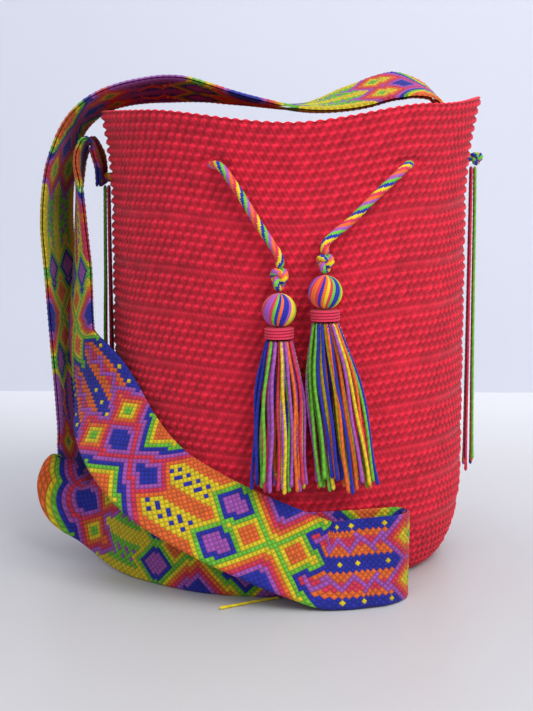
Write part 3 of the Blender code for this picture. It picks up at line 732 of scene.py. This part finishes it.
def make_tassels(materials):
    made = []
    for number, side in enumerate(("left", "right")):
        x, head_level = TASSELS[side]["head"]
        depth = -(BAG_HALF_DEPTH + HEAD_RADIUS + 0.0012)
        rng = np.random.default_rng(40 + number)
        colours = [SIX[int(k)] for k in rng.permutation(np.repeat(np.arange(6), 5))]
        head = head_mesh(f"{side}_head", (x, depth, head_level), HEAD_RADIUS, colours, number)
        (add_piece(f"{side}_tassel_top", head, materials["yarn"], f"{side}_tassel_head", slot="tassel_purple"))
        neck = head_level - HEAD_RADIUS * 0.92 - SEAT_GAP
        wrap = binding_mesh(f"{side}_wrap", (x, depth, neck), BINDING_RADIUS, BINDING_HEIGHT, 4)
        (add_piece(f"{side}_tassel_wrap", wrap, materials["yarn"], f"{side}_tassel_binding", slot="binding_coral"))
        skirt = skirt_mesh(f"{side}_skirt", side, 7 + number)
        (add_piece(f"{side}_tassel_strands", skirt, materials["yarn"], f"{side}_tassel_skirt", slot="tassel_blue"))
        foot = head_level + HEAD_RADIUS * math.sin(math.radians(78)) + SEAT_GAP
        height = drawstring_end(side).z - SEAT_GAP - foot
        middle = (x, drawstring_end(side).y, foot + height / 2)
        knot = knot_mesh(f"{side}_knot", middle, KNOT_RADIUS, height, 0.0024, (YELLOW, BLUE, GREEN, PURPLE, ORANGE))
        made.append(add_piece(f"{side}_cord_stopper", knot, materials["yarn"], f"{side}_cord_knot", slot="knot_orange"))
    return made


def make_ties(materials):
    for side in ("left", "right"):
        sign = -1 if side == "left" else 1
        level = TIE_LEVEL[side]
        wall = BAG_HALF_WIDTH * girth(level)
        if side == "left":
            middle = wall - WALL - 0.010
            ends = (middle + 0.002, -strap_place(STRAP_ROUTE[0][0])[0])
        else:
            middle = wall + 0.0008 + 0.0045
            ends = (strap_place(STRAP_ROUTE[-1][0])[0], middle - 0.002)
        knot = knot_mesh("tie", (sign * middle, 0, level), TIE_KNOT_RADIUS, TIE_KNOT_RADIUS * 2, 0.0021, (GREEN, PURPLE, YELLOW, BLUE))
        neck = twisted("neck", [(sign * e, 0, level) for e in np.linspace(*ends, 5)], 0.0034, SIX, 0.02, 24, 0.0015, 0.35)
        add_piece(f"{side}_tie_knot", joined([knot, neck]), materials["yarn"], f"{side}_strap_tie", slot="tie_green")


# Bag
def row_levels():
    """Heights of the crochet rows as shares of the wall, evenly spaced along its outline."""
    shares = np.linspace(0, 1, 800)
    reach = np.array([girth(s * BAG_HEIGHT) * (BAG_HALF_WIDTH + BAG_HALF_DEPTH) / 2 for s in shares])
    length = np.concatenate([[0], np.cumsum(np.hypot(np.diff(shares * BAG_HEIGHT), np.diff(reach)))])
    return np.interp(np.linspace(0, length[-1], ROWS * ROW_FACES + 1), length, shares)


def pit(angle, level):
    """How deep the surface is drawn in round a mouth hole, 0 to 1."""
    deepest = 0.0
    for hole in FRONT_HOLES + BACK_HOLES:
        apart = (angle - hole + 180) % 360 - 180
        x = math.radians(apart) * BAG_HALF_WIDTH / HOLE_HALF_WIDTH
        y = (level - DRAWSTRING_LEVEL) / HOLE_HALF_HEIGHT
        deepest = max(deepest, 1 - (x * x + y * y) ** 1.5)
    return max(0.0, deepest)


def make_bag(materials):
    levels = row_levels()
    columns = STITCHES * STITCH_FACES
    ribs = {int(np.argmin(np.abs(levels[::ROW_FACES] * BAG_HEIGHT - h))) for h in RIB_HEIGHTS}
    rng = np.random.default_rng(3)
    uneven = rng.normal(0, 1, (ROWS + 1, STITCHES))
    outer = np.empty((len(levels), columns, 3))
    uv = np.empty((len(levels), columns, 2))
    high = np.empty((len(levels), columns))
    for j, share in enumerate(levels):
        row, part = divmod(j, ROW_FACES)
        rib = row in ribs
        lean = STITCH_LEAN * j / ROW_FACES
        for i in range(columns):
            stitch, side = divmod(i, STITCH_FACES)
            angle = 360.0 * ((i / STITCH_FACES + lean) / STITCHES)
            top = BAG_HEIGHT + rim_wave(angle)
            level = share * top
            knot = (0.12, 0.82, 1.0, 0.62)[side]
            band = (0.12, 1.0, 0.85)[part]
            relief = band * knot + 0.12 * (1 - knot) * band
            if rib:
                relief = (0.10, 0.75, 0.45)[part] * (0.70 + 0.30 * knot)
            relief += uneven[min(row, ROWS), stitch % STITCHES] * 0.06
            high[j, i] = relief
            outwards = (relief - 0.9) * STITCH_RELIEF
            if level > DRAWSTRING_LEVEL - 0.02:
                outwards -= pit(angle, level) * 0.0030
            outer[j, i] = wall_point(angle, level, outwards)
            uv[j, i] = (i / STITCH_FACES, j / ROW_FACES)
    tone = 1 + 0.05 * rng.normal(0, 1, (ROWS, STITCHES))
    # Painted shade: each face is painted darker where the stitch relief is low, so the valleys between rows and between
    # stitches are darkened in the colour; tone is a random real variation.
    shade = (high[:-1] + high[1:] + np.roll(high[:-1], -1, 1) + np.roll(high[1:], -1, 1)) / 4
    shade = 0.36 + 0.90 * np.clip(shade, 0, 0.9)
    tone = np.repeat(np.repeat(tone, ROW_FACES, axis=0), STITCH_FACES, axis=1)
    paint = np.array(BODY_RED) * (shade * tone)[..., None]
    # over the edge of the mouth, and under the base
    turn = 360.0 * ((np.arange(columns) / STITCH_FACES + STITCH_LEAN * ROWS) / STITCHES)
    edge = []
    for drop, lift in ((0.18, 0.0010), (0.42, 0.0014), (0.68, 0.0011), (0.86, 0.0002)):
        ring = [wall_point(a, BAG_HEIGHT + rim_wave(a), -WALL * drop) for a in turn]
        beat = np.tile([0.2, 0.8, 1.0, 0.6], STITCHES)
        edge.append([(p.x, p.y, p.z + lift * b) for p, b in zip(ring, beat)])
    under = []
    for share in (0.25, 0.5, 0.75, 0.93):
        under.append([(outer[0, i, 0] * share, outer[0, i, 1] * share, 0.0004) for i in range(columns)])
    outer = np.concatenate([np.array(under), outer, np.array(edge)])
    pad = np.array([uv[0]] * 4)
    uv = np.concatenate([pad, uv, np.array([uv[-1]] * 4)])
    red = np.broadcast_to(np.array(BODY_RED), (4, columns, 3))
    paint = np.concatenate([red, paint, red])
    mesh = grid_mesh("crochet_outside", outer, True, paint, uv, [list(range(columns))[::-1]])
    add_piece("crochet_outside", mesh, materials["crochet"], "bag_body", slot="crochet_coral")
    make_lining(materials)


def make_lining(materials):
    """The inside of the crochet, from the edge of the mouth down to the base."""
    per, rows = 2, 60
    columns = STITCHES * per
    levels = np.linspace(1.0, 0.02, rows * per + 1)
    inside = np.empty((len(levels), columns, 3))
    for j, share in enumerate(levels):
        for i in range(columns):
            angle = 360.0 * i / columns
            top = BAG_HEIGHT + rim_wave(angle)
            relief = (0.0, 1.0)[j % 2] * (0.4, 1.0)[(i + j // 2) % 2]
            level = max(share * top, BASE_THICKNESS)
            depth = WALL - 0.0009 * (1 - relief)
            if level > DRAWSTRING_LEVEL - 0.02:
                depth -= pit(angle, level) * 0.0014
            inside[j, i] = wall_point(angle, level, -depth)
    floor = []
    for share in (0.93, 0.7, 0.45, 0.2, 0.03):
        ring = inside[-1].copy()
        ring[:, :2] *= share
        ring[:, 2] = BASE_THICKNESS
        floor.append(ring)
    inside = np.concatenate([inside, np.array(floor)])
    # Painted shade: the inside is the same red painted a little darker, for the shade within the bag.
    paint = np.broadcast_to(np.array(BODY_RED) * 0.92, (len(inside) - 1, columns, 3))
    uv = np.stack(np.meshgrid(np.arange(columns) / per, np.arange(len(inside)) / per), axis=-1)
    count = inside.shape[0] * columns
    mesh = grid_mesh("crochet_inside", inside, True, paint, uv, [list(range(count - columns, count))])
    add_piece("crochet_inside", mesh, materials["crochet"], "bag_body", slot="crochet_coral")


# Strap
def lattice_colour(x, y, colours, pair_before, pair_after):
    """The colour in a lattice of crossing lines, or None beyond it. x and y are measured from the crossing."""
    line, outline, centre, pair, edges = colours
    half = STRAP_WIDTH / 2
    p, q = x / LATTICE_STRETCH + y, x / LATTICE_STRETCH - y
    if p * q < 0:
        return banded(min(abs(p), abs(q)), (line,) + edges)
    far, near = max(abs(p), abs(q)), min(abs(p), abs(q))
    paired = pair_after if p > 0 else pair_before
    if far < half:
        return banded(min(near, half - far), (line,) + centre)
    if not paired:
        return banded(min(near, far - half), (line, outline))
    if far < 2 * half and near < half:
        return banded(min(near, half - near, far - half, 2 * half - far), (line,) + pair)
    return banded(max(far - 2 * half, near - half), (line, edges[0]))


def banded(distance, colours):
    """The first colour up to the line's half width, then one band after another. Two colours end in None."""
    number = int((distance / math.sqrt(2) - LINE_HALF_WIDTH) / BAND_WIDTH + 1)
    if len(colours) == 2:
        return (colours + (None,))[min(number, 2)]
    return colours[min(number, len(colours) - 1)]


def finger_colour(x, y, finger, field, dot, speck, zigzag):
    """Three long fingers, one of them in the middle, in a field with dots or with zigzag lines."""
    edge = STRAP_WIDTH / 2 - abs(y)
    if abs(y) < 0.0052 or edge < 0.0062:
        specked = abs(y) < 0.0012 or abs(edge - 0.0030) < 0.0010
        return speck if specked and (x / 0.0062) % 1.0 < 0.33 else finger
    v = abs(y) - STRAP_WIDTH / 4 + 0.0005
    if zigzag:
        wave = abs((x / 0.0150) % 1.0 * 4 - 2) - 1
        if abs(v - wave * 0.0040) < 0.0022:
            return field
        return dot if abs(v) > 0.0030 else CORAL
    step = int(math.floor(x / 0.0040))
    return dot if (step + (1 if v > 0 else 0)) % 2 == 0 and 0.0010 < abs(v) < 0.0042 else field


LATTICES = (
    (GREEN, BLUE, (YELLOW, ORANGE, ORANGE, CORAL), (BLUE, PURPLE, PURPLE, CORAL), (YELLOW, ORANGE, CORAL, PURPLE, BLUE)),
    (CORAL, ORANGE, (PURPLE, BLUE, BLUE, GREEN), (ORANGE, YELLOW, GREEN), (PURPLE, BLUE, GREEN, YELLOW, ORANGE)),
)
FINGERS = {
    "blue": (BLUE, PURPLE, ORANGE, YELLOW, True),
    "orange": (ORANGE, YELLOW, BLUE, ORANGE, False),
    "coral": (CORAL, YELLOW, BLUE, CORAL, False),
    "yellow": (YELLOW, GREEN, PURPLE, YELLOW, False),
    "purple": (PURPLE, ORANGE, BLUE, PURPLE, True),
}
# Each crossing of the strap's lines: its place from the fold, the lattice's kind, whether diamonds stand in
# pairs before and after it, and the kind of the fingers that follow it.
CROSSINGS = (
    (-0.533, 0, True, False, "blue"),
    (-0.428, 1, True, False, "coral"),
    (-0.323, 0, True, False, "blue"),
    (-0.203, 1, True, False, "orange"),
    (-0.096, 0, True, False, "blue"),
    (0.030, 1, True, True, "purple"),
    (0.141, 0, True, True, "yellow"),
    (0.265, 1, True, True, "purple"),
    (0.388, 0, True, True, "yellow"),
    (0.521, 1, True, True, "purple"),
    (0.645, 0, True, True, "yellow"),
    (0.770, 1, True, True, "purple"),
    (0.890, 0, True, True, "yellow"),
)


def strap_paint(from_fold, y):
    """The knot's colour, at a distance along the strap from its fold and a place across it."""
    passed = [number for number, crossing in enumerate(CROSSINGS) if crossing[0] <= from_fold]
    before = passed[-1] if passed else 0
    after = min(before + 1, len(CROSSINGS) - 1)
    nearest = min((before, after), key=lambda number: abs(CROSSINGS[number][0] - from_fold))
    place, kind, pair_before, pair_after, _ = CROSSINGS[nearest]
    found = lattice_colour(from_fold - place, y, LATTICES[kind], pair_before, pair_after)
    if found is None:
        return finger_colour(from_fold - CROSSINGS[before][0], y, *FINGERS[CROSSINGS[before][4]])
    return found


def knotted_sheet(name, points, heights, knot_colours, turned):
    """A sheet of small diamond knots. Each quad is split along the edge between two knots."""
    steps, halves = points.shape[0] - 1, points.shape[1] - 1
    i, j = np.meshgrid(np.arange(steps), np.arange(halves), indexing="ij")
    a, b = i * (halves + 1) + j, (i + 1) * (halves + 1) + j
    c, d = b + 1, a + 1
    odd = ((i + j) % 2 == 1)[..., None, None]
    one = np.stack([np.stack([a, b, d], -1), np.stack([b, c, d], -1)], -2)
    two = np.stack([np.stack([a, b, c], -1), np.stack([a, c, d], -1)], -2)
    faces = np.where(odd, one, two).reshape(-1, 3)
    if turned:
        faces = faces[:, ::-1]
    middle = np.stack([faces // (halves + 1), faces % (halves + 1)], -1).mean(axis=1)
    up = np.rint((middle[:, 0] + middle[:, 1]) / 4).astype(int)
    down = np.rint((middle[:, 0] - middle[:, 1]) / 4).astype(int)
    colours = np.array([knot_colours(2 * (u + v), 2 * (u - v)) for u, v in zip(up.tolist(), down.tolist())])
    mesh = bpy.data.meshes.new(name)
    mesh.from_pydata(points.reshape(-1, 3).tolist(), [], faces.tolist())
    mesh.polygons.foreach_set("use_smooth", [True] * len(faces))
    # Painted shade: each corner is painted darker the lower it sits, so the creases between knots are darkened in the
    # colour.
    crease_painted_shade = 0.42 + 0.58 * heights.reshape(-1)[faces]
    paint = np.ones((len(faces), 3, 4), np.float32)
    paint[:, :, :3] = colours[:, None, :] * crease_painted_shade[:, :, None]
    mesh.color_attributes.new("paint", "FLOAT_COLOR", "CORNER").data.foreach_set("color", paint.ravel())
    ply = np.stack([faces % (halves + 1), faces // (halves + 1)], -1) / 2
    mesh.uv_layers.new(name="ply").data.foreach_set("uv", ply.astype(np.float32).ravel())
    return mesh


def make_strap(materials):
    line, across, face, curl, wanted = strap_frames(STRAP_STEP)
    total = wanted[-1]
    halves = int(round(STRAP_WIDTH / KNOT_SIZE)) * 2
    steps = int(round(total / KNOT_SIZE)) * 2
    fine = np.linspace(0, total, steps + 1)
    middle = spread(line, wanted, fine)
    width_way = spread(across, wanted, fine)
    ahead = np.gradient(middle, axis=0)
    ahead /= np.linalg.norm(ahead, axis=1)[:, None]
    width_way -= ahead * np.sum(width_way * ahead, axis=1)[:, None]
    width_way /= np.linalg.norm(width_way, axis=1)[:, None]
    out = np.cross(ahead, width_way)
    bends = np.interp(fine, wanted, curl)
    fold = wanted[int(np.argmax(np.array(line)[:, 0] * (np.array(line)[:, 2] < 0.1)))]
    rng = np.random.default_rng(11)
    tones = 1 + 0.07 * rng.normal(0, 1, (steps // 2 + 3, halves // 2 + 3))
    known = {}

    def knot_colours(i, j):
        if (i, j) not in known:
            across_it = (min(max(j, 1), halves - 1) / halves - 0.5) * STRAP_WIDTH
            found = strap_paint(i / steps * total - fold, across_it)
            known[i, j] = np.array(found) * tones[i // 2, j // 2]
        return known[i, j]

    i, j = np.meshgrid(np.arange(steps + 1), np.arange(halves + 1), indexing="ij")
    centre = (i % 2 == 0) & (j % 2 == 0) & ((i + j) % 4 == 0)
    heights = np.where(centre, 1.0, np.where((i + j) % 2 == 1, 0.72, 0.0))
    for name, side in (("strap_face", 1), ("strap_back", -1)):
        points = np.empty((steps + 1, halves + 1, 3))
        for row in range(steps + 1):
            width = strap_width(fine[row], total)
            for column in range(halves + 1):
                lift = STRAP_THICKNESS / 2 + KNOT_HEIGHT * (heights[row, column] - 0.5)
                if column in (0, halves):
                    lift = 0.0004
                points[row, column] = curled_point(
                    middle[row], width_way[row], out[row], width, bends[row], column / halves - 0.5, side * lift
                )
        sheet = knotted_sheet(name, points, heights, knot_colours, side < 0)
        add_piece(name, sheet, materials["strap"], "shoulder_strap", slot="coral_yarn")


def spread(values, places, wanted):
    """Values at the wanted places on a smooth curve through the given ones."""
    slopes = np.gradient(values, places, axis=0)
    where = np.clip(np.searchsorted(places, wanted, side="right") - 1, 0, len(places) - 2)
    gap = (places[where + 1] - places[where])[:, None]
    t = (wanted - places[where])[:, None] / gap
    low, high = values[where], values[where + 1]
    return (
        low * (2 * t**3 - 3 * t**2 + 1)
        + slopes[where] * gap * (t**3 - 2 * t**2 + t)
        + high * (3 * t**2 - 2 * t**3)
        + slopes[where + 1] * gap * (t**3 - t**2)
    )


# Floor, backdrop and light
def make_room():
    material, tree, shader, start = new_material("white_floor", 0.42)
    place = start.other("ShaderNodeTexCoord", 3)
    soft = start.other("ShaderNodeTexNoise", 0, Vector=place, Scale=6.0, Detail=3.0)
    # Painted light: the floor's colour grows brighter towards the back, for the fall of light across it.
    back = start.other("ShaderNodeSeparateXYZ", 1, Vector=place)
    shade = 0.50 + soft * 0.04 + (back * 0.55).math("MAXIMUM", 0.0)
    grey = start.other("ShaderNodeCombineColor", 0, Red=shade, Green=shade, Blue=shade * 1.02)
    tree.links.new(grey.socket, shader.inputs["Base Color"])
    floor_mesh = bpy.data.meshes.new("floor")
    floor_mesh.from_pydata([(-3, -2, 0), (3, -2, 0), (3, 0.62, 0), (-3, 0.62, 0)], [], [(0, 1, 2, 3)])
    floor = bpy.data.objects.new("floor", floor_mesh)
    bpy.context.scene.collection.objects.link(floor)
    floor_mesh.materials.append(material)
    wall, tree, shader, start = new_material("pale_wall", 0.9)
    place = start.other("ShaderNodeTexCoord", 3)
    soft = start.other("ShaderNodeTexNoise", 0, Vector=place, Scale=2.0, Detail=2.0)
    shade = 0.66 + soft * 0.05
    grey = start.other("ShaderNodeCombineColor", 0, Red=shade * 0.96, Green=shade * 1.0, Blue=shade * 1.13)
    tree.links.new(grey.socket, shader.inputs["Base Color"])
    # from behind, the wall is clear, so that the bag's back can be looked at
    behind = start.other("ShaderNodeNewGeometry", 6)
    clear = tree.nodes.new("ShaderNodeBsdfTransparent")
    mix = tree.nodes.new("ShaderNodeMixShader")
    tree.links.new(behind.socket, mix.inputs[0])
    tree.links.new(shader.outputs[0], mix.inputs[1])
    tree.links.new(clear.outputs[0], mix.inputs[2])
    tree.links.new(mix.outputs[0], tree.nodes["Material Output"].inputs["Surface"])
    wall_mesh = bpy.data.meshes.new("backdrop")
    wall_mesh.from_pydata([(-3, 0.62, 0), (3, 0.62, 0), (3, 0.72, 3), (-3, 0.72, 3)], [], [(0, 1, 2, 3)])
    backdrop = bpy.data.objects.new("backdrop", wall_mesh)
    bpy.context.scene.collection.objects.link(backdrop)
    wall_mesh.materials.append(wall)
    for name, place, power, size, colour in (
        ("key_light", (0.9, -1.3, 1.5), 32.0, 1.2, (1.0, 0.99, 0.97)),
        ("fill_light", (-0.6, -1.6, 1.2), 9.0, 1.2, (0.93, 0.96, 1.0)),
        ("top_light", (0.25, 0.1, 1.8), 11.0, 1.6, (1.0, 1.0, 1.0)),
    ):
        data = bpy.data.lights.new(name, "AREA")
        data.energy, data.size, data.color = power, size, colour
        lamp = bpy.data.objects.new(name, data)
        lamp.location = place
        lamp.rotation_mode = "QUATERNION"
        lamp.rotation_quaternion = (Vector((0, 0, 0.12)) - Vector(place)).to_track_quat("-Z", "Y")
        bpy.context.scene.collection.objects.link(lamp)
    world = bpy.context.scene.world or bpy.data.worlds.new("world")
    bpy.context.scene.world = world
    world.use_nodes = True
    sky = world.node_tree.nodes["Background"]
    sky.inputs["Color"].default_value = (0.88, 0.92, 1.0, 1.0)
    sky.inputs["Strength"].default_value = 0.46
    bpy.context.scene.view_settings.view_transform = "Standard"


def main():
    make_camera()
    materials = {
        "yarn": yarn_material("twisted_yarn", None, 0.30, (0.0, 3.0, 0.25)),
        "cord": yarn_material("braided_cord", None, 0.30, (0.0, 4.0, 0.2)),
        "crochet": yarn_material("crochet_yarn", None, 0.30, (2.0, 2.0, 0.5)),
        "strap": yarn_material("knotted_yarn", None, 0.28, (2.0, 2.0, 0.35)),
    }
    make_cords(materials)
    make_fringes(materials)
    make_ties(materials)
    make_bag(materials)
    make_strap(materials)
    make_room()


main()
